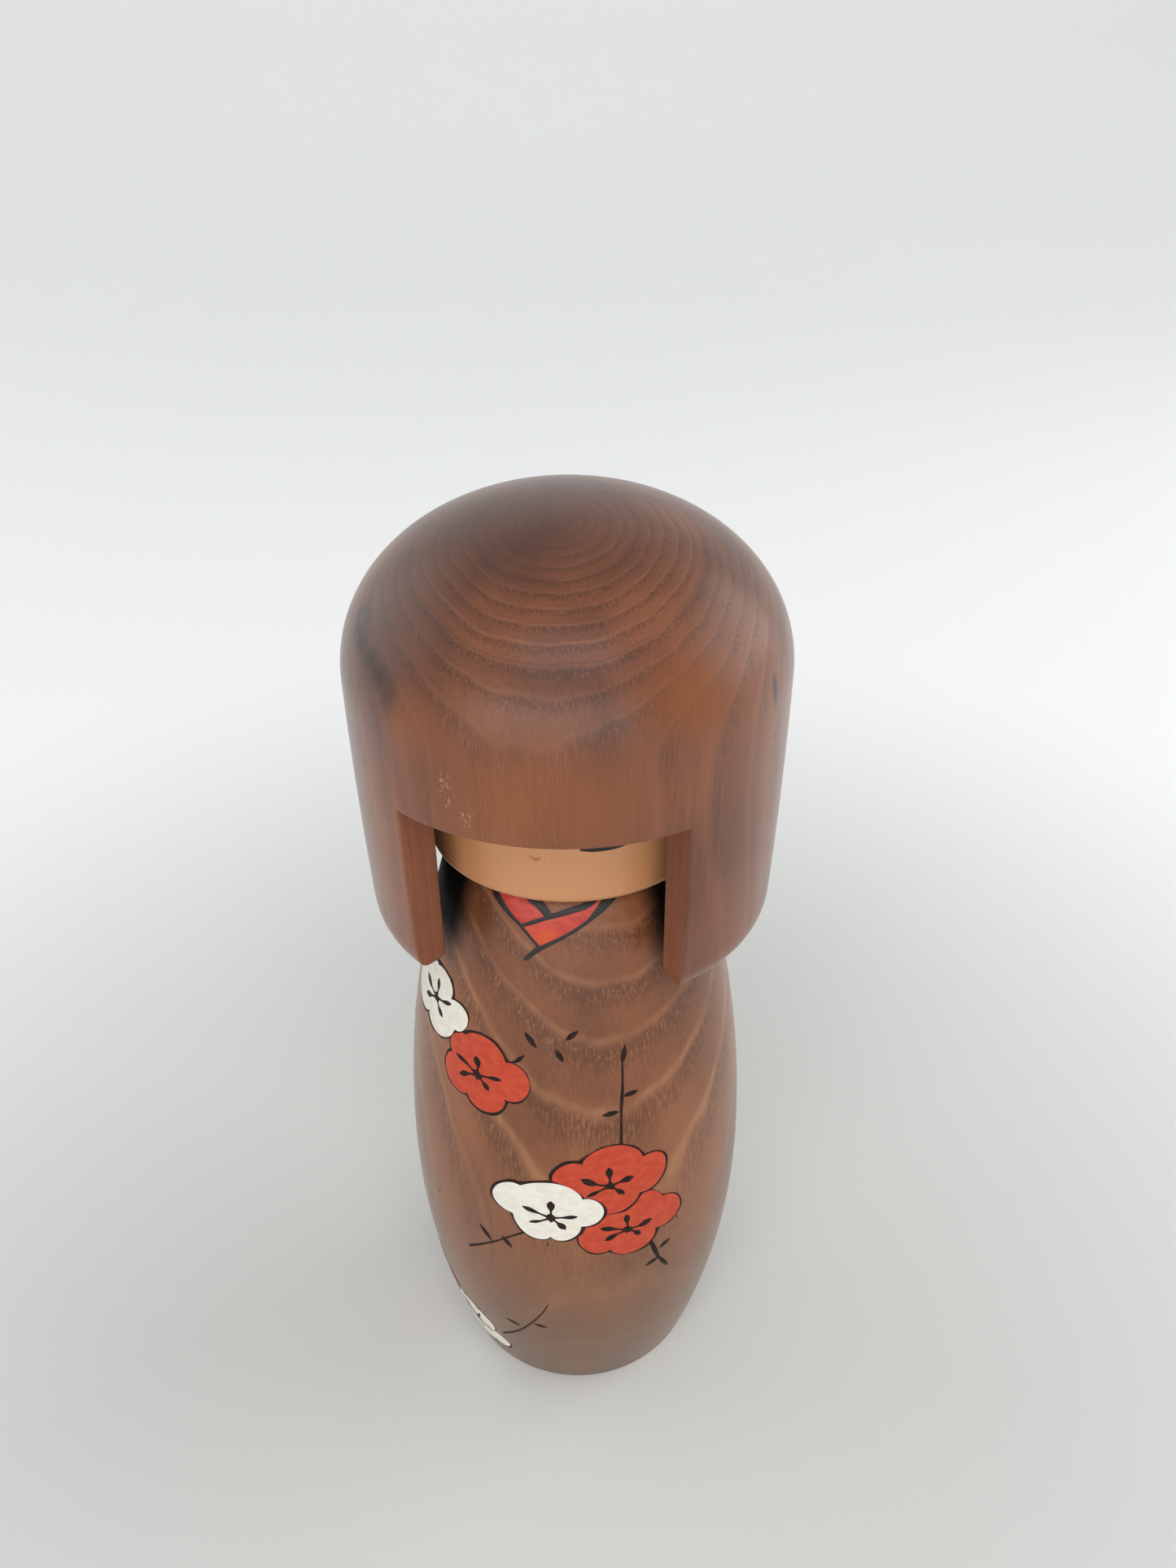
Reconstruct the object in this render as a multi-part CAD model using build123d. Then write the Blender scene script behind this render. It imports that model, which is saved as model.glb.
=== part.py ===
"""Kokeshi doll, turned in wood.

Four pieces: a barrel-shaped body, a plain round head, a hood of hair that the head is glued
into, and a neck peg that is glued into the head and turns in the body.

Frame: millimetres, +Z up, origin at the centre of the base on the surface the doll stands on.
The face looks along -Y, through the opening in the hood.
"""
from build123d import *
from math import hypot
import os

# Body: a barrel of two tangent arcs, widest at the belly.
# Its top is narrower than the head by neck_inset all round.
body_height = 172.8
base_radius = 34.9
belly_radius = 45.6
belly_height = 70.0
neck_inset = 4.95
shoulder_rounding = 6.0
base_rounding = 0.8

# Head: a short cylinder, its lower edge is the chin
head_radius = 33.9
chin_rounding = 2.5
crown_chamfer = 0.6

# Hood of hair: an open-bottomed turned shell around the head.
# Fullness is how square a quarter turn is: 0.552 is an ellipse, 1 would be a corner.
hair_gap = 6.8
hair_wall = 9.3
hair_drop = 17.3
hair_side_taper = 1.3
dome_rise = 38.1
crown_wall = 27.3
rim_rounding_height = 7.9
rim_rounding_depth = 3.2
dome_fullness = 0.568
rim_fullness = 0.69
rim_inner_chamfer = 0.8

# Where the head sits in the hood: the bore runs on behind the fringe, then narrows to the seat
bore_above_fringe = 5.8
crown_seat = 23.0

# Opening in the hood, cut by two radial planes and the level edge of the fringe
opening_half_angle = 37.5
face_height = 26.1

# Neck peg and its socket
peg_radius = 9.0
peg_in_head = 26.0
peg_in_body = 32.0
peg_chamfer = 1.2
socket_mouth_chamfer = 0.6

# Clearances
turning_gap = 0.3
peg_running_clearance = 0.05
socket_end_clearance = 1.5

# Worked out from the sizes above
neck_radius = head_radius - neck_inset
chin_z = body_height + turning_gap
fringe_z = chin_z + face_height
seat_z = fringe_z + bore_above_fringe
crown_z = seat_z + crown_seat
head_length = crown_z - chin_z
bore_radius = head_radius + hair_gap
hood_radius = bore_radius + hair_wall
rim_z = body_height - hair_drop
side_z = rim_z + rim_rounding_height
apex_z = crown_z + crown_wall
eave_z = apex_z - dome_rise
hair_side = eave_z - side_z
side_radius = hood_radius - hair_side_taper
rim_radius = side_radius - rim_rounding_depth
socket_radius = peg_radius + peg_running_clearance
socket_floor_z = body_height - peg_in_body - socket_end_clearance


def arc_radius(rise, run):
    """Radius of an arc that leaves a tangent and moves `rise` sideways over `run` along it."""
    return (rise**2 + run**2) / (2 * rise)


def arc_point(start_radius, rise, run, share):
    """Point on such an arc, as (radius, distance along the axis), at a share of its run."""
    radius = arc_radius(rise, run)
    along = run * share
    return start_radius - radius + (radius**2 - along**2) ** 0.5, along


def turned(outline):
    """Solid of revolution about Z of a closed outline drawn in the XZ plane."""
    return revolve(make_face(outline), Axis.Z)


def edges_at(solid, radius, height):
    """Circular edges of a turned solid at one radius and height."""
    found = ShapeList()
    for edge in solid.edges().filter_by(GeomType.CIRCLE):
        off = hypot(edge.radius - radius, edge.center().Z - height)
        if off < 0.01:
            found.append(edge)
    return found


def make_body():
    """Barrel with a blind socket for the neck peg in its top."""
    lower_radius, lower_run = arc_point(belly_radius, belly_radius - base_radius, belly_height, 0.5)
    upper_run = body_height - belly_height
    upper_radius, upper_along = arc_point(belly_radius, belly_radius - neck_radius, upper_run, 0.5)
    outline = [
        Line((0, 0, 0), (base_radius, 0, 0)),
        ThreePointArc(
            (base_radius, 0, 0),
            (lower_radius, 0, belly_height - lower_run),
            (belly_radius, 0, belly_height),
        ),
        ThreePointArc(
            (belly_radius, 0, belly_height),
            (upper_radius, 0, belly_height + upper_along),
            (neck_radius, 0, body_height),
        ),
        Line((neck_radius, 0, body_height), (0, 0, body_height)),
        Line((0, 0, body_height), (0, 0, 0)),
    ]
    solid = turned(outline)
    solid = fillet(edges_at(solid, neck_radius, body_height), shoulder_rounding)
    solid = fillet(edges_at(solid, base_radius, 0), base_rounding)
    depth = body_height - socket_floor_z
    solid -= Pos(0, 0, body_height - depth / 2) * Cylinder(socket_radius, depth)
    return chamfer(edges_at(solid, socket_radius, body_height), socket_mouth_chamfer)


def make_head():
    """Cylinder with a rounded chin and a blind bore for the glued end of the peg."""
    solid = Pos(0, 0, chin_z + head_length / 2) * Cylinder(head_radius, head_length)
    solid = fillet(edges_at(solid, head_radius, chin_z), chin_rounding)
    solid = chamfer(edges_at(solid, head_radius, crown_z), crown_chamfer)
    return solid - Pos(0, 0, chin_z + peg_in_head / 2) * Cylinder(peg_radius, peg_in_head)


def quarter_turn(start, start_arm, end_arm, fullness):
    """Smooth quarter turn in the XZ plane: along start_arm first, then along end_arm."""
    corner = start + start_arm
    end = corner + end_arm
    return Bezier(start, start + start_arm * fullness, end - end_arm * fullness, end)


def hood_blank():
    """Solid outside of the hood: a low dome, bowed sides and a soft lower rim."""
    bow_radius, bow_run = arc_point(hood_radius, hair_side_taper, hair_side, 0.5)
    eave = Vector(hood_radius, 0, eave_z)
    rim = Vector(rim_radius, 0, rim_z)
    dome = quarter_turn(eave, Vector(0, 0, dome_rise), Vector(-hood_radius, 0, 0), dome_fullness)
    lip_out = Vector(rim_rounding_depth, 0, 0)
    lip_up = Vector(0, 0, rim_rounding_height)
    lip = quarter_turn(rim, lip_out, lip_up, rim_fullness)
    side_end = rim + lip_out + lip_up
    outline = [
        Line((0, 0, rim_z), rim),
        lip,
        ThreePointArc(side_end, (bow_radius, 0, eave_z - bow_run), eave),
        dome,
        Line((0, 0, apex_z), (0, 0, rim_z)),
    ]
    return turned(outline)


def opening_wedge():
    """Wedge in front of the face, from under the rim up to the fringe."""
    reach = 2 * hood_radius
    below = hair_drop
    left = Vector(0, -reach, 0).rotate(Axis.Z, -opening_half_angle)
    right = Vector(0, -reach, 0).rotate(Axis.Z, opening_half_angle)
    corners = [(0, 0), (left.X, left.Y), (right.X, right.Y)]
    triangle = make_face(Polyline(*corners, close=True))
    return Pos(0, 0, rim_z - below) * extrude(triangle, fringe_z - rim_z + below)


def make_hair_hood():
    """Turned shell with a seat for the crown of the head, open below and in front."""
    bore_depth = seat_z - rim_z
    solid = hood_blank()
    solid -= Pos(0, 0, rim_z + bore_depth / 2) * Cylinder(bore_radius, bore_depth)
    solid -= Pos(0, 0, crown_z - crown_seat / 2) * Cylinder(head_radius, crown_seat)
    solid = chamfer(edges_at(solid, bore_radius, rim_z), rim_inner_chamfer)
    return solid - opening_wedge()


def make_neck_peg():
    """Dowel, chamfered at both ends."""
    length = peg_in_body + turning_gap + peg_in_head
    dowel = Pos(0, 0, body_height - peg_in_body + length / 2) * Cylinder(peg_radius, length)
    return chamfer(dowel.edges().filter_by(GeomType.CIRCLE), peg_chamfer)


def main():
    """Write one STEP file for each piece."""
    os.makedirs("parts", exist_ok=True)
    pieces = {
        "body": make_body(),
        "head": make_head(),
        "hair_hood": make_hair_hood(),
        "neck_peg": make_neck_peg(),
    }
    for name, solid in pieces.items():
        export_step(solid, f"parts/{name}.step")
        print(name, round(solid.volume / 1000, 2), "cm3")


main()
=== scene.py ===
"""Looks of the kokeshi doll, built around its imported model.

Metres, in the row frame: +Z up, the doll stands on Z = 0 and its face looks along -Y.
Sizes are written in millimetres and turned into metres by MM. A place on a turned piece is
(turn, run): turn is in degrees about +Z, from -Y towards +X, and run is the distance up the
piece's outer profile.
"""
import math

import bmesh
import bpy
import numpy as np
from mathutils import Matrix, Vector


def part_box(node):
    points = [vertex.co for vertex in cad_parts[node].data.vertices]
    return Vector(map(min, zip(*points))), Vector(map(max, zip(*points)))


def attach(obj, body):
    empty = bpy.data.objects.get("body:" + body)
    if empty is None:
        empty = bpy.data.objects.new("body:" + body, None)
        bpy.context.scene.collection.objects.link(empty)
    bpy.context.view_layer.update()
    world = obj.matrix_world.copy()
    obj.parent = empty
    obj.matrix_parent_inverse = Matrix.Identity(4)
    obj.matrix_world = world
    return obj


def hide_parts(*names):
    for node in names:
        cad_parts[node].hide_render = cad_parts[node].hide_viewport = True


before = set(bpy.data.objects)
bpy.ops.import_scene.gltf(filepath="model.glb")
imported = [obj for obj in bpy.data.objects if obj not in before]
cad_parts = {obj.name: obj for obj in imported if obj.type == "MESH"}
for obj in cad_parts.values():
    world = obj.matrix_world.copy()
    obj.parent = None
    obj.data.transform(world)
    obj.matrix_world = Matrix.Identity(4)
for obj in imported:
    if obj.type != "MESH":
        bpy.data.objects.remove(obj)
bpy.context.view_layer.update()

MM = 0.001

# How far paint, burnt lines and ink stand above the wood, how much higher each layer of blossoms
# or collar lies, and how far all of them reach into the wood
PAINT_LIFT = 0.10
BURN_LIFT = 0.04
INK_LIFT = 0.05
LAYER = 0.07
SINK = 0.06
# Width over which the edge of a painted line slopes, and the most this takes of its width
SLOPE = 0.15
SLOPE_SHARE = 0.3

# The face is glued in a little to the doll's right of the opening's middle
FACE_TURN = -5.0


# ---------------------------------------------------------------- turned surfaces


def outer_side(points):
    """Convex outer side of a cloud of (radius, height) points, from the bottom up."""
    side = []
    for point in points[np.lexsort((points[:, 0], points[:, 1]))]:
        while len(side) > 1:
            back = side[-1] - side[-2]
            on = point - side[-2]
            if back[0] * on[1] - back[1] * on[0] > 0:
                break
            side.pop()
        side.append(point)
    return np.array(side)


def node_points(node):
    """A CAD node's vertices as (turn, radius, height), in degrees and millimetres."""
    co = np.array([v.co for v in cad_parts[node].data.vertices]) / MM
    turn = np.degrees(np.arctan2(co[:, 0], -co[:, 1]))
    return np.column_stack((turn, np.hypot(co[:, 0], co[:, 1]), co[:, 2]))


def turned_point(turn, radius, height):
    """Points in metres from turns, radii and heights."""
    angle = np.radians(turn)
    return np.stack((radius * np.sin(angle), -radius * np.cos(angle), height), -1) * MM


class Outline:
    """Outer profile of a turned CAD node, measured from its vertices."""

    def __init__(self, node):
        side = outer_side(node_points(node)[:, 1:])
        self.radius, self.height = side.T
        self.run = np.concatenate(([0.0], np.cumsum(np.hypot(*np.diff(side, axis=0).T))))

    def run_at(self, height):
        """Distance up the profile at a height."""
        return np.interp(height, self.height, self.run)

    def radius_at(self, run):
        """Radius at a distance up the profile."""
        return np.interp(run, self.run, self.radius)

    def at(self, turn, run, lift=0.0):
        """Points in metres, lift millimetres off the surface."""
        reach = 0.4
        low = np.clip(run - reach, 0, self.run[-1])
        high = np.clip(run + reach, 0, self.run[-1])
        span = high - low
        out = (np.interp(high, self.run, self.height) - np.interp(low, self.run, self.height)) / span
        rise = (self.radius_at(low) - self.radius_at(high)) / span
        radius = self.radius_at(run) + lift * out
        height = np.interp(run, self.run, self.height) + lift * rise
        return turned_point(turn, radius, height)


# ---------------------------------------------------------------- mesh helpers


def loft(mesh, rings):
    """Closed tube through rings of points of one length, with a face over each end."""
    made = [[mesh.verts.new(point) for point in ring] for ring in rings]
    for ring, following in zip(made, made[1:]):
        for i in range(len(ring)):
            j = (i + 1) % len(ring)
            mesh.faces.new((ring[i], ring[j], following[j], following[i]))
    mesh.faces.new(made[0][::-1])
    mesh.faces.new(made[-1])


def finish_piece(name, mesh, materials, body):
    """Object from a bmesh, riding on a CAD body. Paint, which is no material of the record, has no slot."""
    bmesh.ops.recalc_face_normals(mesh, faces=mesh.faces)
    data = bpy.data.meshes.new(name)
    mesh.to_mesh(data)
    mesh.free()
    for material in materials:
        data.materials.append(material)
    data.shade_smooth()
    data.set_sharp_from_angle(angle=math.radians(50))
    made = bpy.data.objects.new(name, data)
    bpy.context.scene.collection.objects.link(made)
    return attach(made, body)


def smooth_path(points, count):
    """Even curve through a few points (Catmull-Rom)."""
    points = np.asarray(points, float)
    if len(points) == 2:
        share = np.linspace(0, 1, count)[:, None]
        return points[0] * (1 - share) + points[1] * share
    padded = np.vstack((2 * points[0] - points[1], points, 2 * points[-1] - points[-2]))
    at = np.linspace(0, len(points) - 1, count)
    span = np.minimum(at.astype(int), len(points) - 2)
    t = (at - span)[:, None]
    a, b, c, d = (padded[span + i] for i in range(4))
    bend = 2 * a - 5 * b + 4 * c - d
    twist = 3 * b - a - 3 * c + d
    return 0.5 * (2 * b + (c - a) * t + bend * t**2 + twist * t**3)


def band(mesh, outline, left, right, lift, base=0.0):
    """Thin closed film on a turned surface between two lines of (turn, run) places."""
    width = np.hypot(*((right - left) * [math.pi / 180 * outline.radius.max(), 1]).T)
    rings = []
    for start, end, wide in zip(left, right, width):
        edge = min(SLOPE_SHARE, SLOPE / max(wide, 0.01))
        across = np.array([0, edge, 0.25 + edge / 2, 0.5, 0.75 - edge / 2, 1 - edge, 1, 1, 0])
        lifts = np.array([0.3, 1, 1, 1, 1, 1, 0.3, 0, 0]) * lift + base
        lifts[-2:] = -SINK
        place = start + (end - start) * across[:, None]
        rings.append(outline.at(place[:, 0], place[:, 1], lifts))
    loft(mesh, rings)


def stroke(mesh, outline, path, width, lift=BURN_LIFT, base=0.0, count=14):
    """Brush or burnt line along (turn, run) places; width is one number or several along it."""
    line = smooth_path(path, count)
    widths = np.interp(np.linspace(0, 1, count), np.linspace(0, 1, np.size(width)), np.atleast_1d(width))
    scale = np.column_stack((math.pi / 180 * outline.radius_at(line[:, 1]), np.ones(count)))
    along = np.gradient(line * scale, axis=0)
    along /= np.hypot(*along.T)[:, None]
    side = np.column_stack((-along[:, 1], along[:, 0])) * widths[:, None] / 2 / scale
    band(mesh, outline, line + side, line - side, lift, base)


# ---------------------------------------------------------------- materials


class Nodes:
    """A material's node tree, with short calls that give sockets."""

    def __init__(self, name):
        self.material = bpy.data.materials.new(name)
        self.material.use_nodes = True
        self.tree = self.material.node_tree
        self.shader = self.tree.nodes["Principled BSDF"]

    def feed(self, socket, value):
        """Link a socket into an input, or set the input to a constant."""
        if isinstance(value, bpy.types.NodeSocket):
            self.tree.links.new(value, socket)
        else:
            socket.default_value = value

    def node(self, kind, inputs=(), **settings):
        made = self.tree.nodes.new(kind)
        for name, value in settings.items():
            setattr(made, name, value)
        for key, value in dict(inputs).items():
            self.feed(made.inputs[key], value)
        return made

    def math(self, operation, *values, clamp=False):
        inputs = dict(enumerate(values))
        return self.node("ShaderNodeMath", inputs, operation=operation, use_clamp=clamp).outputs[0]

    def vector(self, operation, *values):
        return self.node("ShaderNodeVectorMath", dict(enumerate(values)), operation=operation).outputs[0]

    def length(self, vector):
        """Length of a vector."""
        return self.node("ShaderNodeVectorMath", {0: vector}, operation="LENGTH").outputs["Value"]

    def shift(self, place, size, amount):
        """Sideways offset of up to about half of amount, in waves of a size in millimetres."""
        wave = self.vector("SUBTRACT", self.noise(place, size, 1.0, "Color"), (0.5, 0.5, 0.5))
        return self.vector("MULTIPLY", wave, (amount, amount, 0))

    def place(self):
        """Object coordinates in millimetres."""
        made = self.node("ShaderNodeTexCoord").outputs["Object"]
        return self.vector("MULTIPLY", made, (1 / MM, 1 / MM, 1 / MM))

    def noise(self, place, size, detail=2.0, output="Fac"):
        """Noise whose features measure size (x, y, z) millimetres."""
        scaled = self.vector("DIVIDE", place, size)
        made = self.node("ShaderNodeTexNoise", {"Vector": scaled, "Scale": 1.0, "Detail": detail})
        return made.outputs[output]

    def fade(self, value, start, end, low=0.0, high=1.0):
        """low at start, high at end, smooth between."""
        inputs = {"Value": value, "From Min": start, "From Max": end, "To Min": low, "To Max": high}
        return self.node("ShaderNodeMapRange", inputs, interpolation_type="SMOOTHSTEP").outputs[0]

    def mix(self, amount, first, second):
        """First colour, going over to the second by amount."""
        made = self.node("ShaderNodeMix", data_type="RGBA")
        for index, value in ((0, amount), (6, first), (7, second)):
            self.feed(made.inputs[index], value)
        return made.outputs[2]

    def blob(self, place, centre, size):
        """1 at centre, fading to 0 at size (x, y, z) millimetres from it."""
        off = self.vector("DIVIDE", self.vector("SUBTRACT", place, centre), size)
        return self.fade(self.length(off), 1.0, 0.15)

    def marked(self, colour, place, marks):
        """Colour with soft-edged marks over it, given as (colour, strength, centre, reach)."""
        for tint, strength, centre, reach in marks:
            amount = self.math("MULTIPLY", self.blob(place, centre, reach), strength)
            colour = self.mix(amount, colour, tint)
        return colour

    def bump(self, height, depth):
        """Surface relief, depth millimetres deep."""
        inputs = {"Height": height, "Distance": depth * MM, "Strength": 1.0}
        self.feed(self.shader.inputs["Normal"], self.node("ShaderNodeBump", inputs).outputs[0])

    def gloss(self, roughness, coat=0.0, coat_roughness=0.2):
        """Roughness of the surface, and the weight and roughness of its clear coat."""
        self.feed(self.shader.inputs["Roughness"], roughness)
        self.shader.inputs["Coat Weight"].default_value = coat
        self.shader.inputs["Coat Roughness"].default_value = coat_roughness


def rgb(red, green, blue):
    """Linear colour from 0 to 255 display values."""
    def linear(value):
        share = value / 255
        return share / 12.92 if share <= 0.04045 else ((share + 0.055) / 1.055) ** 2.4
    return linear(red), linear(green), linear(blue), 1.0


class Grain:
    """How a turned piece was cut from its trunk, in millimetres.

    pith is the trunk's middle, ring the spacing of its growth rings, and first the distance
    from the pith at which one of them starts. drift and waver are slow and quick bends, and
    pale is how clear the pale line at the start of each ring is.
    """

    def __init__(self, pith, ring, first, drift, waver, pale):
        self.pith = pith
        self.ring = ring
        self.first = first
        self.drift = drift
        self.waver = waver
        self.pale = pale


# Sizes of the wood's features, in millimetres: slow and quick bends of its rings, the streaks that
# make pores and flecks, the breaks in the pale lines, the fibres and the clouds of tone
DRIFT_SIZE = (42, 42, 120)
WAVER_SIZE = (11, 11, 45)
STREAK_SIZE = (0.42, 0.42, 4.2)
BREAK_SIZE = (7, 7, 24)
FIBRE_SIZE = (0.6, 0.6, 22)
CLOUD_SIZE = (20, 20, 50)
# Number of the ring that starts at Grain.first
FIRST_RING = 40
# Share of a ring counted before its start, where its pale line fades in
LINE_LEAD = 0.12


def ring_phase(nodes, place, grain):
    """How far a place is through its growth ring, from -LINE_LEAD up, and a random tone for that year."""
    moved = nodes.vector("ADD", place, nodes.shift(place, DRIFT_SIZE, grain.drift))
    moved = nodes.vector("ADD", moved, nodes.shift(place, WAVER_SIZE, grain.waver))
    off = nodes.vector("MULTIPLY", nodes.vector("SUBTRACT", moved, grain.pith), (1, 1, 0))
    offset = FIRST_RING - grain.first / grain.ring
    count = nodes.math("MULTIPLY_ADD", nodes.length(off), 1 / grain.ring, offset)
    count = nodes.math("ADD", count, LINE_LEAD)
    phase = nodes.math("SUBTRACT", nodes.math("FRACT", count), LINE_LEAD)
    number = nodes.math("FLOOR", count)
    year = nodes.node("ShaderNodeTexWhiteNoise", {"W": number}, noise_dimensions="1D")
    return phase, year.outputs["Value"]


def ring_wood(nodes, place, grain, tones, contrast):
    """Colour and pore depth of brown ring-porous wood whose trunk ran up +Z.

    tones are (dark, middle, pale) colours, and contrast is how far the rings stand out.
    """
    dark, middle, pale = tones
    phase, year_tone = ring_phase(nodes, place, grain)

    # A pale line, ragged and broken, at the start of each ring
    streak = nodes.noise(place, STREAK_SIZE, 1.5)
    ragged = nodes.math("MULTIPLY_ADD", streak, -0.3, nodes.math("ADD", phase, 0.15))
    line = nodes.math("MULTIPLY", nodes.fade(phase, -0.08, 0.02), nodes.fade(ragged, 0.2, 0.03))
    broken = nodes.fade(nodes.noise(place, BREAK_SIZE, 2.0), 0.36, 0.6, 0.4, 1.0)
    line = nodes.math("MULTIPLY", line, nodes.math("MULTIPLY", broken, contrast))

    # Then a porous zone with dark pores and pale flecks
    porous = nodes.math("MULTIPLY", nodes.fade(phase, 0.02, 0.16), nodes.fade(ragged, 0.66, 0.2))
    porous = nodes.math("MULTIPLY", porous, contrast)
    pores = nodes.math("MULTIPLY", nodes.fade(streak, 0.48, 0.6), porous)
    flecks = nodes.math("MULTIPLY", nodes.fade(streak, 0.46, 0.36), porous)

    # The ground tone under both, cloudy and fibrous
    fibre = nodes.noise(place, FIBRE_SIZE, 3.0)
    cloud = nodes.noise(place, CLOUD_SIZE, 2.0)
    tone = nodes.math("MULTIPLY_ADD", cloud, 2.0, -0.3)
    tone = nodes.math("ADD", tone, nodes.math("MULTIPLY_ADD", fibre, 0.7, -0.35))
    tone = nodes.math("ADD", tone, nodes.math("MULTIPLY_ADD", year_tone, 0.36, -0.18))
    tone = nodes.math("MULTIPLY_ADD", porous, -0.34, tone, clamp=True)
    colour = nodes.mix(tone, dark, middle)
    strength = nodes.math("MULTIPLY", line, nodes.math("MULTIPLY_ADD", year_tone, 0.32, 0.26))
    strength = nodes.math("MULTIPLY", strength, grain.pale)
    colour = nodes.mix(strength, colour, pale)
    colour = nodes.mix(nodes.math("MULTIPLY", flecks, 0.34), colour, pale)
    colour = nodes.mix(nodes.math("MULTIPLY", pores, 0.62), colour, dark)
    return colour, pores


def lacquered(name, grain, tones, plain, ringed, clearest):
    """Brown wood under satin lacquer: its nodes, place, colour and roughness, to be painted over.

    plain and ringed are the heights at which the rings are faintest and clearest, and clearest
    is how far they stand out there.
    """
    nodes = Nodes(name)
    place = nodes.place()
    height = nodes.node("ShaderNodeSeparateXYZ", {0: place}).outputs[2]
    contrast = nodes.fade(height, plain, ringed, 0.4, clearest)
    colour, pores = ring_wood(nodes, place, grain, tones, contrast)
    skin = nodes.noise(place, (5, 5, 7), 2.0)
    roughness = nodes.math("MULTIPLY_ADD", skin, 0.16, 0.4)
    nodes.feed(nodes.shader.inputs["Base Color"], colour)
    nodes.gloss(roughness, coat=1.0, coat_roughness=0.3)
    nodes.shader.inputs["Specular IOR Level"].default_value = 0.12
    nodes.shader.inputs["Coat IOR"].default_value = 1.34
    height = nodes.math("MULTIPLY_ADD", pores, -1.0, nodes.math("MULTIPLY", skin, 0.8))
    nodes.bump(height, 0.025)
    return nodes, place, colour, roughness


# Colours of the wood as (dark, middle, pale)
BODY_TONES = (rgb(102, 60, 38), rgb(148, 92, 59), rgb(184, 132, 94))
HOOD_TONES = (rgb(84, 50, 37), rgb(137, 83, 56), rgb(160, 112, 84))
CUT_TONES = (rgb(108, 58, 38), rgb(148, 88, 59), rgb(160, 102, 72))
# Colours of marks on the wood, and of painted shade: black on the body's shoulders, partly a real
# airbrush, olive low on the body, with painted sheen, and brown on the hood's dome and left side
SHADE_AND_SHEEN_OLIVE = rgb(104, 78, 54)
AIRBRUSH_AND_SHADE = rgb(9, 7, 6)
SHADE_AND_KNOT_BROWN = rgb(84, 56, 46)
KNOT = rgb(38, 24, 18)
AMBER = rgb(146, 82, 40)
SCUFF = rgb(206, 168, 134)
ORANGE = rgb(216, 84, 36)

BODY_GRAIN = Grain(pith=(3.4, -7.6, 0.0), ring=3.5, first=26.3, drift=2.6, waver=1.2, pale=1.0)
HOOD_GRAIN = Grain(pith=(0.8, -14.5, 0.0), ring=2.7, first=34.2, drift=4.0, waver=1.7, pale=0.72)


def body_material():
    """Body wood, black on the shoulders under the sides of the hair: partly airbrushed, partly painted
    shade from the hood.
    """
    nodes, place, colour, roughness = lacquered("body_wood", BODY_GRAIN, BODY_TONES, 60, 110, 1.0)
    parts = nodes.node("ShaderNodeSeparateXYZ", {0: place}).outputs
    # Painted shade, partly a real black airbrush: black, with less coat, on the shoulders beside and behind
    # the hood's sides, where the hood shades them
    turn = nodes.math("ARCTAN2", nodes.math("ABSOLUTE", parts[0]), nodes.math("MULTIPLY", parts[1], -1.0))
    aside = nodes.fade(turn, math.radians(35), math.radians(50))
    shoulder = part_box("body")[1].z / MM
    high = nodes.fade(parts[2], shoulder - 29.5, shoulder - 15.5)
    black_and_shade = nodes.math("MULTIPLY", aside, high)
    # Painted shade and sheen: a darker, greyer olive towards the bottom of the body
    colour = nodes.mix(nodes.fade(parts[2], 95, 10, 0.0, 0.7), colour, SHADE_AND_SHEEN_OLIVE)
    nodes.feed(nodes.shader.inputs["Base Color"], nodes.mix(black_and_shade, colour, AIRBRUSH_AND_SHADE))
    nodes.feed(nodes.shader.inputs["Coat Weight"], nodes.math("MULTIPLY_ADD", black_and_shade, -0.9, 1.0))
    nodes.feed(nodes.shader.inputs["Roughness"], nodes.math("MULTIPLY_ADD", black_and_shade, 0.45, roughness))
    return nodes.material


# Marks in the hood's wood, and painted shade on its dome and left side: (colour, strength, centre, reach)
HOOD_MARKS_AND_SHADE = (
    # Painted shade: darker over the dome's top and down its left side, away from the light
    (SHADE_AND_KNOT_BROWN, 0.75, (-10.0, -14.0, 254.0), (40, 34, 16)),
    (SHADE_AND_KNOT_BROWN, 0.5, (-30.0, -30.0, 240.0), (24, 24, 22)),
    (SHADE_AND_KNOT_BROWN, 0.4, (-31.0, -36.0, 228.0), (16, 16, 14)),
    # Warmer tones in the wood
    (AMBER, 0.6, (30.0, -38.0, 229.0), (17, 17, 15)),
    (AMBER, 0.45, (-24.0, -42.5, 221.0), (14, 14, 12)),
    (AMBER, 0.5, (0.0, -49.0, 209.0), (38, 15, 19)),
    # A knot with a paler heart and the dark streak running from it, then a dark fleck on the right
    (KNOT, 1.0, (-38.9, -22.5, 234.5), (5.2, 6.0, 5.6)),
    (SHADE_AND_KNOT_BROWN, 1.0, (-39.2, -22.5, 235.0), (2.7, 3.0, 3.3)),
    (KNOT, 0.85, (-37.6, -27.0, 231.5), (3.8, 3.8, 3.8)),
    (KNOT, 0.8, (-35.2, -31.6, 230.0), (4.6, 4.2, 3.8)),
    (KNOT, 0.7, (-32.6, -35.2, 228.2), (4.4, 4.0, 4.2)),
    (KNOT, 0.5, (-30.2, -38.2, 225.2), (3.8, 3.8, 5.6)),
    (KNOT, 1.0, (45.6, -20.3, 222.5), (1.8, 1.8, 6.5)),
    (KNOT, 0.7, (46.1, -19.3, 210.4), (0.9, 0.9, 1.3)),
)
# Scuffs in its lacquer: (centre, reach)
HOOD_SCUFFS = (
    ((-17.9, -46.6, 209.5), (2.6, 2.6, 5.5)),
    ((-13.6, -47.9, 204.5), (2.0, 2.0, 3.5)),
)
# Warmer place in the collar's paint, as (colour, strength, centre, reach)
COLLAR_MARKS = ((ORANGE, 0.9, (-1.5, -33.4, 162.5), (5.5, 5.5, 4.5)),)


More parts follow.
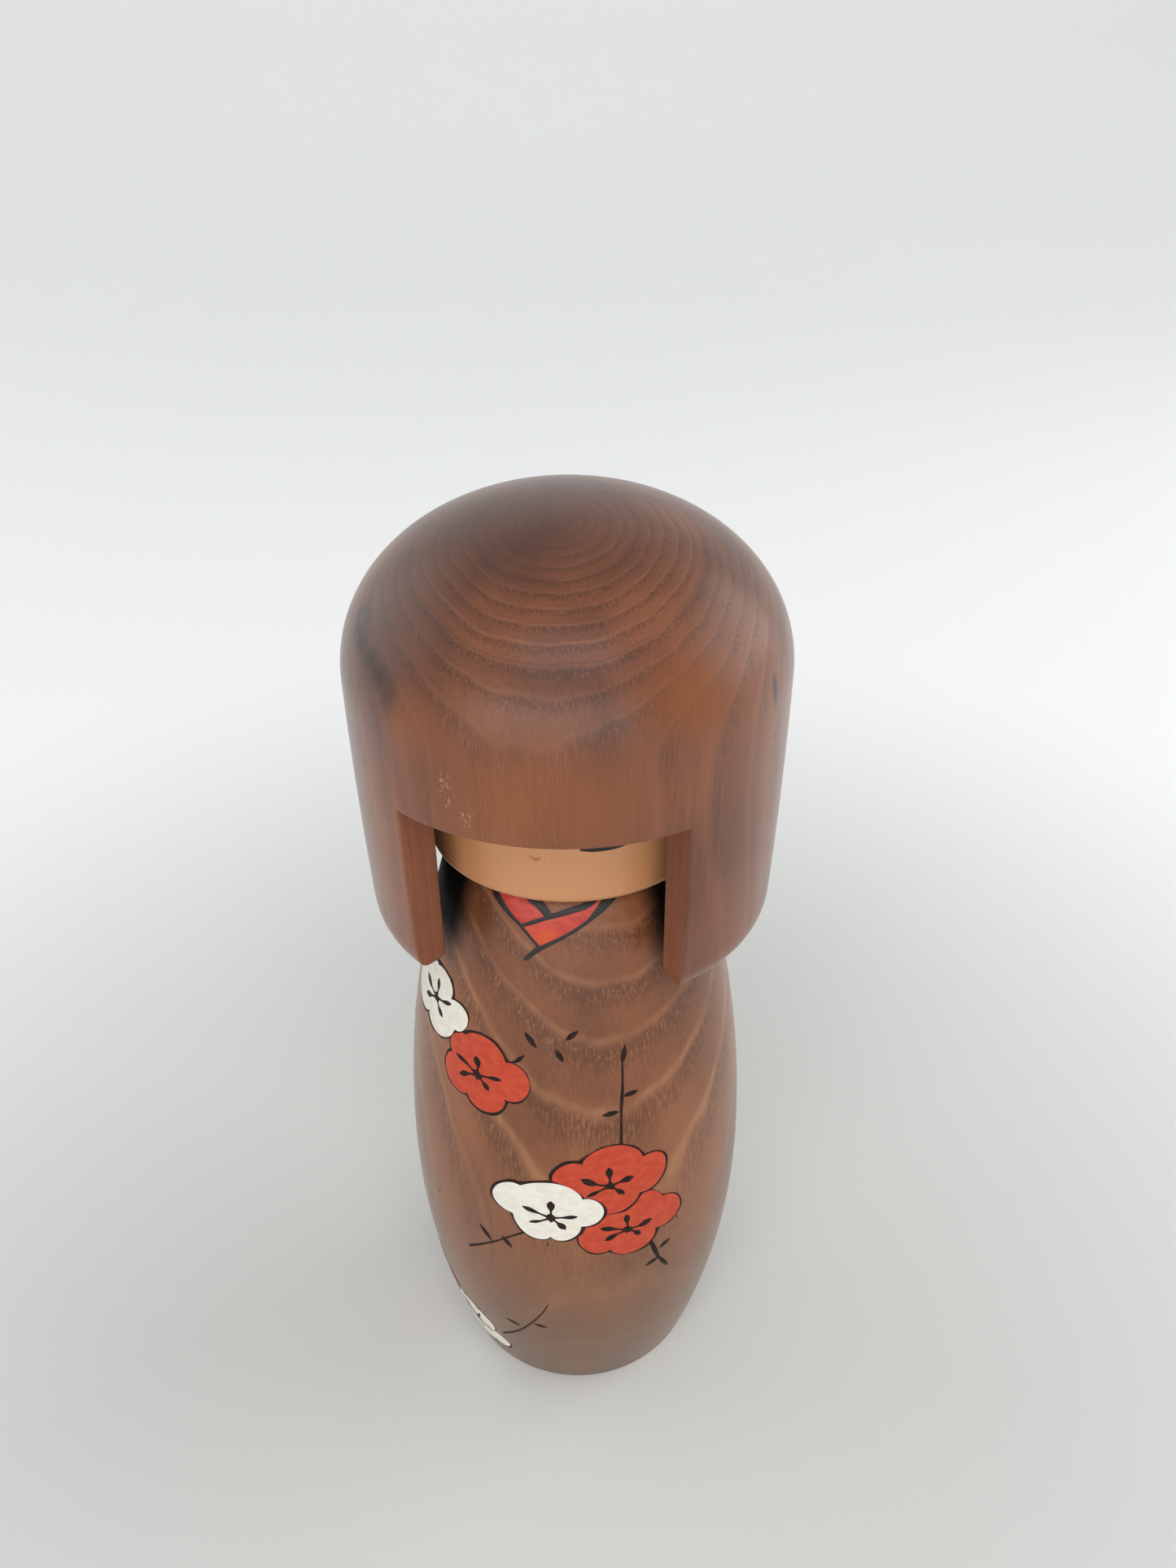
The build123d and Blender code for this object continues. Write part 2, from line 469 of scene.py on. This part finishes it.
def hood_materials():
    """Lacquered outside, and the plainer, redder wood of the sawn faces."""
    nodes, place, colour = lacquered("hair_wood", HOOD_GRAIN, HOOD_TONES, 212, 236, 0.8)[:3]
    colour = nodes.marked(colour, place, HOOD_MARKS_AND_SHADE)
    wear = nodes.fade(nodes.noise(place, (0.7, 0.7, 1.1), 2.0), 0.52, 0.62)
    for centre, reach in HOOD_SCUFFS:
        worn = nodes.math("MULTIPLY", nodes.blob(place, centre, reach), nodes.math("MULTIPLY", wear, 0.6))
        colour = nodes.mix(worn, colour, SCUFF)
    nodes.feed(nodes.shader.inputs["Base Color"], colour)
    sawn = Nodes("sawn_wood")
    place = sawn.place()
    sawn_colour = ring_wood(sawn, place, HOOD_GRAIN, CUT_TONES, 0.4)[0]
    sawn.feed(sawn.shader.inputs["Base Color"], sawn_colour)
    sawn.gloss(0.6)
    sawn.bump(sawn.noise(place, (0.5, 0.5, 8), 3.0), 0.06)
    return nodes.material, sawn.material


def pale_wood(name, low, high, roughness, coat):
    """Fine even pale wood, with faint upright fibres."""
    nodes = Nodes(name)
    place = nodes.place()
    fibre = nodes.noise(place, (0.9, 0.9, 30), 3.0)
    cloud = nodes.noise(place, (14, 14, 30), 2.0)
    clouded = nodes.math("MULTIPLY_ADD", cloud, 0.9, -0.2)
    tone = nodes.math("MULTIPLY_ADD", fibre, 0.5, clouded, clamp=True)
    nodes.feed(nodes.shader.inputs["Base Color"], nodes.mix(tone, low, high))
    nodes.gloss(nodes.math("MULTIPLY_ADD", cloud, 0.12, roughness), coat=coat, coat_roughness=0.25)
    nodes.bump(fibre, 0.012)
    return nodes.material


# Size of the brush's unevenness in the paint, in millimetres
BRUSH_SIZE = (2.56, 2.56, 1.6)


def paint(name, low, high, roughness=0.4, marks=()):
    """Opaque hand-laid paint: brushed unevenness in colour and surface, and marks as on the hood."""
    nodes = Nodes(name)
    place = nodes.place()
    brush = nodes.noise(place, BRUSH_SIZE, 3.0)
    tone = nodes.fade(brush, 0.3, 0.7)
    colour = nodes.marked(nodes.mix(tone, low, high), place, marks)
    nodes.feed(nodes.shader.inputs["Base Color"], colour)
    nodes.gloss(nodes.math("MULTIPLY_ADD", brush, 0.2, roughness - 0.1), coat=0.15, coat_roughness=0.25)
    nodes.shader.inputs["Specular IOR Level"].default_value = 0.25
    nodes.bump(brush, 0.035)
    return nodes.material


def burnt_material():
    """Charred line: dark brown to black, uneven."""
    nodes = Nodes("burnt_line")
    place = nodes.place()
    char = nodes.noise(place, (0.9, 0.9, 1.4), 3.0)
    tone = nodes.fade(char, 0.35, 0.75)
    nodes.feed(nodes.shader.inputs["Base Color"], nodes.mix(tone, rgb(14, 7, 6), rgb(54, 26, 18)))
    nodes.gloss(nodes.math("MULTIPLY_ADD", char, 0.3, 0.45))
    nodes.shader.inputs["Specular IOR Level"].default_value = 0.2
    nodes.bump(char, 0.05)
    return nodes.material


# ---------------------------------------------------------------- hood of hair


# Turn between the columns of the mesh, and the radius of its sawn edges
HOOD_STEP = 1.25
SAWN_EDGE = 0.55


class HoodSizes:
    """Measures of the hood in degrees and millimetres, from its CAD node and the head inside it."""

    def __init__(self):
        turn, radius, height = node_points("hair_hood").T
        head_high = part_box("head")[1]
        self.seat = head_high.x / MM
        self.crown = head_high.z / MM
        over_face = (np.abs(turn) < 20) & (radius > self.seat + 5)
        self.fringe = height[over_face].min()
        beside = height < self.fringe - 5
        self.opening = np.abs(turn[beside]).min()
        self.bore = radius[beside].min()
        on_bore = height[np.abs(radius - self.bore) < 0.05]
        self.foot = on_bore.min()
        self.roof = on_bore.max()


def hood_profile(outline, sizes):
    """Half section as (radius, height), down the outside and up the inside.

    Also gives the rows of it at which the opening starts and ends.
    """
    fringe_run = outline.run_at(sizes.fringe)
    upper = np.linspace(outline.run[-1], fringe_run, 56)[1:]
    lower = np.linspace(fringe_run, 0, 44)[1:]
    runs = np.concatenate((upper, lower))
    outside = [(outline.radius_at(run), np.interp(run, outline.run, outline.height)) for run in runs]
    inside = [(sizes.bore, height) for height in np.linspace(sizes.foot, sizes.fringe, 32)]
    roof = [
        (sizes.bore, sizes.roof),
        (sizes.seat, sizes.roof),
        (sizes.seat, sizes.crown),
        (sizes.seat / 2, sizes.crown),
    ]
    return outside + inside + roof, len(upper) - 1, len(outside) + len(inside) - 1


def hood_turns(opening):
    """Turns of the mesh's columns, the opening's first, and the number of spaces across it."""
    across = 2 * int(round(opening / HOOD_STEP))
    around = int(round((360 - 2 * opening) / HOOD_STEP))
    in_front = np.linspace(-opening, opening, across + 1)
    behind = np.linspace(opening, 360 - opening, around + 1)
    return np.concatenate((in_front, behind[1:-1])), across


def hood_mesh(outline, sizes):
    """Closed mesh of the hood, and the sawn faces round its opening."""
    profile, top, under = hood_profile(outline, sizes)
    turns, across = hood_turns(sizes.opening)
    columns = len(turns)
    mesh = bmesh.new()
    rows = []
    for index, (radius, height) in enumerate(profile):
        row = []
        for column, turn in enumerate(turns):
            missing = top < index < under and 0 < column < across
            row.append(None if missing else mesh.verts.new(turned_point(turn, radius, height)))
        rows.append(row)

    for index, (row, following) in enumerate(zip(rows, rows[1:])):
        first = across if top <= index < under else 0
        for column in range(first, columns):
            after = (column + 1) % columns
            mesh.faces.new((row[column], row[after], following[after], following[column]))
    for row, height in ((rows[0], outline.height[-1]), (rows[-1], sizes.crown)):
        centre = mesh.verts.new((0, 0, height * MM))
        for column in range(columns):
            mesh.faces.new((row[column], row[(column + 1) % columns], centre))

    sawn = []
    for column in range(across):
        above = rows[top][column:column + 2]
        below = rows[under][column:column + 2]
        sawn.append(mesh.faces.new(above + below[::-1]))
    for column in (0, across):
        sawn.append(mesh.faces.new([row[column] for row in rows[top:under + 1]]))
    for made in sawn:
        made.material_index = 1
    return mesh, sawn


def round_over(mesh, sawn):
    """Round the edges where the sawn faces meet the turned ones."""
    bmesh.ops.recalc_face_normals(mesh, faces=mesh.faces)
    edges = set()
    for made in sawn:
        for edge in made.edges:
            if any(other not in sawn for other in edge.link_faces):
                edges.add(edge)
    bmesh.ops.bevel(
        mesh, geom=list(edges), offset=SAWN_EDGE * MM, offset_type="OFFSET", segments=3, profile=0.5,
        affect="EDGES", clamp_overlap=True,
    )


def make_hood(outline):
    """The hood as a finer mesh than its CAD node, with its sawn edges rounded over."""
    mesh, sawn = hood_mesh(outline, HoodSizes())
    round_over(mesh, sawn)
    hood = finish_piece("hair", mesh, hood_materials(), "head")
    normals = hood.modifiers.new("even_normals", "WEIGHTED_NORMAL")
    normals.keep_sharp = True
    normals.weight = 80
    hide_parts("hair_hood")


# ---------------------------------------------------------------- blossoms

# Outlines of the doll's hand-drawn plum blossoms: the notches between petals and the petals' tips by
# turns, as (angle, distance from the middle), starting with a notch
FULL = (
    (-20, 8.0), (12, 13.6), (40, 10.2), (88, 12.0), (130, 12.3),
    (163, 16.2), (185, 10.0), (220, 10.0), (268, 6.9), (303, 8.9),
)
POINTED = (
    (-31, 8.8), (17, 15.4), (38, 10.8), (80, 12.8), (131, 10.4),
    (164, 14.8), (187, 9.6), (214, 10.2), (236, 7.6), (284, 9.9),
)
SPREAD = (
    (-22, 8.2), (7, 15.6), (37, 12.3), (60, 13.2), (98, 9.4),
    (125, 10.2), (150, 8.3), (188, 12.8), (234, 7.6), (303, 9.9),
)
NARROW = (
    (-25, 9.3), (4, 12.7), (29, 6.4), (66, 9.3), (100, 8.6),
    (118, 9.6), (140, 8.8), (178, 13.4), (243, 6.7), (302, 9.9),
)
ROUND = (
    (-27, 8.6), (12, 14.2), (41, 10.0), (82, 11.7), (116, 10.2),
    (138, 11.6), (165, 8.8), (200, 11.4), (248, 7.3), (300, 10.3),
)
PETAL_ROUNDNESS = 0.62

LEAF_WIDTH = 1.5

# Stamens as (angle, length)
STAMENS = ((93, 5.8), (157, 7.3), (12, 6.6), (-41, 5.0), (-160, 6.6))


def petal_reach(form, angles):
    """Distance from a blossom's middle to its edge in each direction, and nearness to a notch."""
    points = np.array(form + ((form[0][0] + 360, form[0][1]),), float)
    degrees = (np.degrees(angles) - form[0][0]) % 360 + form[0][0]
    after = np.clip(np.searchsorted(points[:, 0], degrees, side="right"), 1, len(points) - 1)
    low, high = points[after - 1], points[after]
    share = (degrees - low[:, 0]) / (high[:, 0] - low[:, 0])
    rising = after % 2 == 1
    bulge = np.sin(np.where(rising, share, 1 - share) * math.pi / 2) ** PETAL_ROUNDNESS
    notch = np.where(rising, low[:, 1], high[:, 1])
    tip = np.where(rising, high[:, 1], low[:, 1])
    return notch + (tip - notch) * bulge, (1 - bulge) ** 2


def wobble(angles, rng, size):
    """Smooth unevenness of a hand-drawn closed line."""
    waves = sum(
        np.sin(k * angles + rng.uniform(0, 2 * math.pi)) * weight
        for k, weight in ((2, 0.5), (3, 0.3), (5, 0.3), (9, 0.2), (17, 0.12))
    )
    return waves * size


def film(mesh, outline, middle, rim, tilt, angles, lift, base):
    """Thin closed film with a rounded edge, inside the rim about a (turn, run) place."""
    per_degree = math.pi / 180 * outline.radius_at(middle[1])
    rings = []
    levels = [
        (0.1, 0, -SINK),
        (1, 0, -SINK),
        (1, 0, base + 0.3 * lift),
        (1, 0.1, base + 0.8 * lift),
        (1, 0.28, base + lift),
    ]
    levels += [(share, 0, base + lift) for share in (0.86, 0.74, 0.62, 0.5, 0.38, 0.26, 0.14)]
    for share, inset, height in levels:
        reach = rim * share - inset
        turn = middle[0] + reach * np.cos(angles + tilt) / per_degree
        run = middle[1] + reach * np.sin(angles + tilt)
        rings.append(outline.at(turn, run, height))
    loft(mesh, rings)


def blossom(meshes, outline, turn, height, colour, form, tilt, layer, seed):
    """Painted blossom with its burnt outline and stamens."""
    rng = np.random.default_rng(seed)
    angles = np.linspace(0, 2 * math.pi, 240, endpoint=False)
    reach, notch = petal_reach(form, angles)
    rim = reach + wobble(angles, rng, 0.1)
    burnt = reach + np.clip(0.5 + wobble(angles, rng, 0.45) + 0.9 * notch, 0.08, 1.6)
    middle = (turn, outline.run_at(height))
    base = layer * LAYER
    lean = math.radians(tilt)
    film(meshes["burnt"], outline, middle, burnt, lean, angles, BURN_LIFT, base)
    film(meshes[colour], outline, middle, rim, lean, angles, PAINT_LIFT, base)
    per_degree = math.pi / 180 * outline.radius_at(middle[1])
    top = base + PAINT_LIFT

    def place(angle, distance):
        direction = math.radians(angle) + lean
        across = distance * math.cos(direction) / per_degree
        return middle[0] + across, middle[1] + distance * math.sin(direction)

    for angle, length in STAMENS:
        length = length * rng.uniform(0.9, 1.08)
        angle = angle + rng.uniform(-6, 6)
        bend = angle + rng.uniform(-7, 7)
        end = rng.uniform(1.1, 2.2)
        path = [place(angle, 0.2), place(bend, length * 0.5), place(angle, length)]
        widths = (1.5, 0.8, 0.6, 0.6, 0.75 * end, end, 0.85 * end, 0.3)
        stroke(meshes["burnt"], outline, path, widths, BURN_LIFT, top)
    dot = 1.2 + wobble(angles[::6], rng, 0.35)
    film(meshes["burnt"], outline, middle, dot, 0, angles[::6], BURN_LIFT * 1.4, top)


def leaf(mesh, outline, start, end):
    """Small burnt almond between two (turn, height) places."""
    path = [(turn, outline.run_at(height)) for turn, height in (start, end)]
    widths = (0.15, 0.75 * LEAF_WIDTH, LEAF_WIDTH, 0.8 * LEAF_WIDTH, 0.15)
    stroke(mesh, outline, path, widths, BURN_LIFT, 0.0, 9)


def twig(mesh, outline, places, width):
    """Burnt line through (turn, height) places."""
    path = [(turn, outline.run_at(height)) for turn, height in places]
    stroke(mesh, outline, path, width, BURN_LIFT, 0.0, 22)


# Blossoms as (turn, height, paint, form, tilt, layer)
BLOSSOMS = (
    (24.2, 77.3, "red", SPREAD, 0, 0),
    (18.6, 94.2, "red", POINTED, 0, 1),
    (-0.4, 83.9, "white", FULL, 0, 2),
    (-26.6, 122.8, "red", ROUND, 0, 0),
    (-51.0, 135.4, "white", NARROW, 0, 1),
    (-41.5, 16.0, "white", NARROW, -26, 0),
    (-70.0, 24.0, "red", ROUND, -10, 1),
    (-104.0, 96.0, "red", SPREAD, 8, 0),
    (-121.0, 82.0, "white", ROUND, -6, 1),
    (152.0, 118.0, "white", FULL, 5, 1),
    (170.0, 104.0, "red", POINTED, -12, 0),
    (118.0, 52.0, "red", FULL, 4, 0),
)
# Twigs as (places, widths), and leaves as (tip, root), in (turn, height)
TWIGS = (
    (((-15.9, 129.0), (-12.2, 130.5), (-9.3, 132.6)), (0.5, 0.5, 1.2, 0.3)),
    (((24.3, 131.5), (23.9, 123.9), (23.0, 116.3), (22.6, 106.0)), (0.45, 0.6, 0.9, 0.6, 0.8)),
    (((-9.6, 76.5), (-15.0, 72.9), (-20.6, 68.7), (-31.8, 60.6)), (0.7, 0.5, 0.5, 0.6, 0.9)),
    (((32.3, 69.8), (35.8, 61.2)), (1.0, 1.5, 0.9)),
    (((35.8, 61.2), (39.9, 55.5)), (0.8, 1.1, 1.2, 0.4)),
    (
        ((-25.2, 19.6), (-16.1, 27.4), (-9.9, 34.9), (-5.3, 41.7), (-2.8, 46.8)),
        (0.8, 0.6, 0.5, 0.45, 0.3),
    ),
    (((-92.0, 104.0), (-84.0, 109.0), (-77.0, 117.0)), (0.7, 0.5, 0.4)),
    (((-134.0, 76.0), (-142.0, 68.0), (-153.0, 61.0)), (0.8, 0.5, 0.6)),
    (((137.0, 112.0), (128.0, 106.0), (118.0, 103.0)), (0.7, 0.5, 0.5)),
    (((174.0, 94.0), (176.0, 82.0), (175.0, 68.0)), (0.8, 0.6, 0.5)),
    (((104.0, 56.0), (95.0, 62.0), (88.0, 71.0)), (0.8, 0.5, 0.4)),
)
LEAVES = (
    ((-9.5, 138.8), (-5.0, 135.1)),
    ((1.6, 135.2), (4.2, 132.1)),
    ((9.4, 140.2), (5.1, 137.8)),
    ((25.7, 134.9), (24.1, 129.8)),
    ((29.3, 121.4), (23.8, 121.0)),
    ((16.6, 116.4), (22.4, 116.8)),
    ((-26.1, 73.1), (-21.4, 68.5)),
    ((-17.5, 72.4), (-14.0, 69.0)),
    ((40.2, 66.9), (35.8, 65.0)),
    ((30.8, 59.8), (35.9, 61.4)),
    ((-20.8, 32.0), (-14.8, 30.9)),
    ((-9.2, 34.8), (-4.0, 34.1)),
    ((-80.0, 106.5), (-84.5, 109.5)),
    ((-82.5, 118.0), (-79.5, 113.0)),
    ((-139.0, 74.5), (-141.0, 69.0)),
    ((-146.0, 60.0), (-148.5, 64.5)),
    ((128.0, 111.0), (129.5, 106.5)),
    ((121.0, 99.0), (123.5, 104.0)),
    ((171.0, 82.0), (175.5, 84.5)),
    ((-179.0, 72.0), (175.5, 75.0)),
    ((96.0, 57.5), (97.0, 61.5)),
    ((88.5, 62.5), (92.0, 66.0)),
)


def make_flowers(outline, paints):
    """All blossoms and twigs on the body."""
    meshes = {name: bmesh.new() for name in ("red", "white", "burnt")}
    for seed, (turn, height, colour, form, tilt, layer) in enumerate(BLOSSOMS):
        blossom(meshes, outline, turn, height, colour, form, tilt, layer, seed + 3)
    for places, width in TWIGS:
        twig(meshes["burnt"], outline, places, width)
    for tip, root in LEAVES:
        leaf(meshes["burnt"], outline, tip, root)
    for name, mesh in meshes.items():
        finish_piece(f"blossom_{name}", mesh, [paints[name]], "body")


# ---------------------------------------------------------------- collar

# Height of the crossed collar's tip, and its corners as (turn, distance up the body from the tip)
COLLAR_TIP_HEIGHT = 160.1
COLLAR_TIP = (-4.7, 0.0)
COLLAR_TAIL = (-10.8, -3.4)
COLLAR_LEFT = (-27.2, 10.6)
COLLAR_LEFT_END = (-34.0, 15.0)
COLLAR_RIGHT = (27.0, 11.4)
COLLAR_RIGHT_END = (33.0, 15.0)
HEM = (11.0, 5.4)
CROSSING = (-13.4, 4.6)
LAPEL = (-3.8, 7.2)
NECKLINE = (-1.9, 8.2)
NECKLINE_LEFT = (-11.2, 11.6)
NECKLINE_LEFT_END = (-20.0, 15.5)
NECKLINE_RIGHT = (16.2, 10.9)
NECKLINE_RIGHT_END = (27.0, 15.5)
# The two bands, each by its outer and inner side
UNDER_BAND = (
    (CROSSING, COLLAR_LEFT, COLLAR_LEFT_END),
    (NECKLINE, NECKLINE_LEFT, NECKLINE_LEFT_END),
)
OVER_BAND = (
    (COLLAR_TIP, HEM, COLLAR_RIGHT, COLLAR_RIGHT_END),
    (CROSSING, LAPEL, NECKLINE_RIGHT, NECKLINE_RIGHT_END),
)
# Dark lines as (corners, widths)
COLLAR_LINES = (
    ((COLLAR_LEFT_END, COLLAR_LEFT, (-18.6, 6.6), CROSSING, COLLAR_TIP), (1.9, 1.7, 1.0, 0.8, 0.7)),
    ((COLLAR_RIGHT_END, COLLAR_RIGHT, HEM, COLLAR_TIP, COLLAR_TAIL), (1.5, 1.2, 0.9, 0.8, 1.3, 0.8)),
    ((NECKLINE_LEFT_END, NECKLINE_LEFT, (-6.2, 10.4), NECKLINE), (1.2, 1.5, 2.0, 1.8)),
    ((NECKLINE_RIGHT_END, NECKLINE_RIGHT, (7.0, 9.3), LAPEL, CROSSING), (1.6, 1.5, 1.4, 1.0, 0.9)),
    (((30.0, 12.2), (22.7, 11.0), (15.9, 7.6), (10.0, 4.6)), (1.6, 1.3, 0.7, 0.2)),
)


def make_collar(outline, paints):
    """Two crossed red bands edged with dark lines, the doll's left band on top."""
    tip_run = outline.run_at(COLLAR_TIP_HEIGHT)

    def places(*corners):
        return [(turn, tip_run + up) for turn, up in corners]

    red = bmesh.new()
    dark = bmesh.new()
    for sides, base in ((UNDER_BAND, 0.0), (OVER_BAND, LAYER)):
        outer, inner = (smooth_path(places(*corners), 16) for corners in sides)
        band(red, outline, outer, inner, PAINT_LIFT, base)
    for corners, width in COLLAR_LINES:
        stroke(dark, outline, places(*corners), width, BURN_LIFT, PAINT_LIFT + LAYER, 30)
    finish_piece("collar_bands", red, [paints["collar"]], "body")
    finish_piece("collar_lines", dark, [paints["ink"]], "body")


# ---------------------------------------------------------------- face


# Brush lines of the face, as (turn from its middle, height), and their widths
LID = ((16.5, 188.4), (21.5, 188.0), (28.0, 187.9), (33.5, 188.2), (38.0, 189.3))
LID_WIDTH = (1.1, 1.35, 1.15, 0.8, 0.2)
LIPS = ((-2.2, 186.0), (0.1, 185.3), (2.3, 185.9))
LIPS_WIDTH = (0.2, 1.0, 0.2)


def make_face(outline, paints):
    """Slanted brush-stroke eyes under the fringe, and a small red mouth."""
    eyes = bmesh.new()
    mouth = bmesh.new()

    def places(corners, side=1):
        return [(FACE_TURN + side * turn, outline.run_at(height)) for turn, height in corners]

    for side in (1, -1):
        stroke(eyes, outline, places(LID, side), LID_WIDTH, INK_LIFT, 0.0, 24)
    stroke(mouth, outline, places(LIPS), LIPS_WIDTH, INK_LIFT, 0.0, 14)
    finish_piece("eyes", eyes, [paints["ink"]], "head")
    finish_piece("mouth", mouth, [paints["lips"]], "head")


# ---------------------------------------------------------------- stage, light, camera


def floor_material():
    """Matt pale grey, paler far out, and paler to the camera and in reflections."""
    nodes = Nodes("floor")
    place = nodes.node("ShaderNodeTexCoord").outputs["Object"]
    distance = nodes.length(place)
    far = nodes.fade(distance, 0.1, 0.5)
    rays = nodes.node("ShaderNodeLightPath").outputs
    seen = nodes.math("MAXIMUM", rays["Is Camera Ray"], rays["Is Glossy Ray"])
    seen = nodes.math("MAXIMUM", seen, rays["Is Transmission Ray"])
    shown = nodes.mix(far, rgb(238, 240, 237), rgb(243, 244, 244))
    nodes.feed(nodes.shader.inputs["Base Color"], nodes.mix(seen, rgb(208, 209, 205), shown))
    nodes.feed(nodes.shader.inputs["Emission Color"], rgb(250, 252, 255))
    glow = nodes.math("MULTIPLY", nodes.math("MULTIPLY", far, seen), 0.3)
    nodes.feed(nodes.shader.inputs["Emission Strength"], glow)
    nodes.gloss(0.8)
    nodes.shader.inputs["Specular IOR Level"].default_value = 0.2
    return nodes.material


# Section of the floor and backdrop as (radius, height), in metres
STAGE = (
    (0.3, 0.0), (0.6, 0.0), (0.9, 0.0), (1.2, 0.0), (1.6, 0.03),
    (2.0, 0.13), (2.35, 0.35), (2.6, 0.75), (2.75, 1.4), (2.8, 3.0),
)


def make_stage():
    """Pale floor that curves up, far out, into a pale backdrop all round."""
    sides = 64
    turns = np.linspace(0, 2 * math.pi, sides, endpoint=False)
    mesh = bmesh.new()
    rows = []
    for r, h in STAGE:
        rows.append([mesh.verts.new((r * math.sin(a), -r * math.cos(a), h)) for a in turns])
    centre = mesh.verts.new((0, 0, 0))
    for i in range(sides):
        j = (i + 1) % sides
        mesh.faces.new((centre, rows[0][i], rows[0][j]))
        for row, following in zip(rows, rows[1:]):
            mesh.faces.new((row[i], following[i], following[j], row[j]))
    data = bpy.data.meshes.new("floor")
    mesh.to_mesh(data)
    mesh.free()
    data.shade_smooth()
    data.materials.append(floor_material())
    floor = bpy.data.objects.new("floor", data)
    bpy.context.scene.collection.objects.link(floor)


# Soft lamps as (name, place, width, height, watts, colour), in metres, and the point they look at
LAMPS = (
    ("window", (0.0, -1.5, 0.46), 2.4, 0.8, 13.0, (1, 0.985, 0.965)),
    ("left", (-1.35, 0.3, 0.75), 1.2, 1.0, 2.6, (1, 0.99, 0.98)),
    ("right", (1.3, 0.45, 0.65), 1.2, 1.0, 7.0, (1, 0.99, 0.98)),
    ("skylight", (0.1, -0.72, 1.15), 0.9, 0.5, 3.0, (0.95, 0.94, 1)),
)
LAMP_TARGET = (0, 0, 0.14)
# Colour of the sky, and its strength at the horizon and overhead
SKY = (0.97, 0.985, 1.0, 1)
SKY_LOW = 0.9
SKY_HIGH = 0.46


def aim(thing, target):
    """Turn a lamp towards a point."""
    thing.rotation_euler = (Vector(target) - thing.location).to_track_quat("-Z", "Y").to_euler()


def make_lamp(name, place, width, height, energy, colour):
    """Soft rectangular lamp aimed at the doll and unseen by the camera."""
    light = bpy.data.lights.new(name, "AREA")
    light.shape = "RECTANGLE"
    light.size = width
    light.size_y = height
    light.energy = energy
    light.color = colour
    lamp = bpy.data.objects.new(name, light)
    bpy.context.scene.collection.objects.link(lamp)
    lamp.location = place
    lamp.visible_camera = False
    aim(lamp, LAMP_TARGET)


def make_light():
    """Room light: a sky brighter at the horizon than overhead, and four wide soft lamps."""
    world = bpy.data.worlds.new("room")
    bpy.context.scene.world = world
    world.use_nodes = True
    tree = world.node_tree
    background = tree.nodes["Background"]
    background.inputs["Color"].default_value = SKY
    coordinate = tree.nodes.new("ShaderNodeTexCoord")
    parts = tree.nodes.new("ShaderNodeSeparateXYZ")
    level = tree.nodes.new("ShaderNodeMapRange")
    level.inputs["From Min"].default_value = 0.1
    level.inputs["From Max"].default_value = 0.9
    level.inputs["To Min"].default_value = SKY_LOW
    level.inputs["To Max"].default_value = SKY_HIGH
    tree.links.new(coordinate.outputs["Generated"], parts.inputs[0])
    tree.links.new(parts.outputs[2], level.inputs["Value"])
    tree.links.new(level.outputs[0], background.inputs["Strength"])
    for lamp in LAMPS:
        make_lamp(*lamp)


# Camera: place in metres, focal length on a 36 mm sensor, and turns in degrees
CAMERA_PLACE = (0.03444, -0.23665, 0.3312)
CAMERA_LENS = 27.03
CAMERA_HEADING = 7.26
CAMERA_PITCH = 31.67
CAMERA_ROLL = -0.54


def make_camera():
    """Hand-held view from above, turned a few degrees towards the doll's left."""
    data = bpy.data.cameras.new("camera")
    data.sensor_width = 36
    data.lens = CAMERA_LENS
    camera = bpy.data.objects.new("camera", data)
    bpy.context.scene.collection.objects.link(camera)
    heading = math.radians(CAMERA_HEADING)
    pitch = math.radians(CAMERA_PITCH)
    roll = math.radians(CAMERA_ROLL)
    level = Vector((math.cos(heading), math.sin(heading), 0))
    ahead = Vector((-math.sin(heading), math.cos(heading), 0))
    look = ahead * math.cos(pitch) - Vector((0, 0, math.sin(pitch)))
    right = Matrix.Rotation(-roll, 3, look) @ level
    up = right.cross(look)
    pose = Matrix((right, up, -look)).transposed().to_4x4()
    pose.translation = Vector(CAMERA_PLACE)
    camera.matrix_world = pose
    bpy.context.scene.camera = camera


def dress_nodes():
    """Materials for the CAD nodes that stay."""
    finishes = {
        "body": body_material(),
        "head": pale_wood("face_wood", rgb(198, 136, 90), rgb(212, 152, 106), 0.38, 0.25),
        "neck_peg": pale_wood("dowel_wood", rgb(178, 138, 92), rgb(205, 168, 120), 0.55, 0.0),
    }
    for node, material in finishes.items():
        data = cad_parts[node].data
        data.materials.clear()
        data.materials.append(material)


paints = {
    "red": paint("red_paint", rgb(192, 62, 38), rgb(206, 78, 48)),
    "white": paint("white_paint", rgb(238, 232, 218), rgb(247, 243, 233)),
    "burnt": burnt_material(),
    "collar": paint("collar_paint", rgb(190, 58, 46), rgb(208, 78, 62), 0.34, marks=COLLAR_MARKS),
    "ink": paint("ink", rgb(18, 13, 14), rgb(34, 24, 24), 0.35),
    "lips": paint("lip_paint", rgb(188, 104, 74), rgb(196, 116, 84)),
}

dress_nodes()
body_outline = Outline("body")
make_hood(Outline("hair_hood"))
make_flowers(body_outline, paints)
make_collar(body_outline, paints)
make_face(Outline("head"), paints)
make_stage()
make_light()
make_camera()
bpy.context.scene.view_settings.view_transform = "Standard"
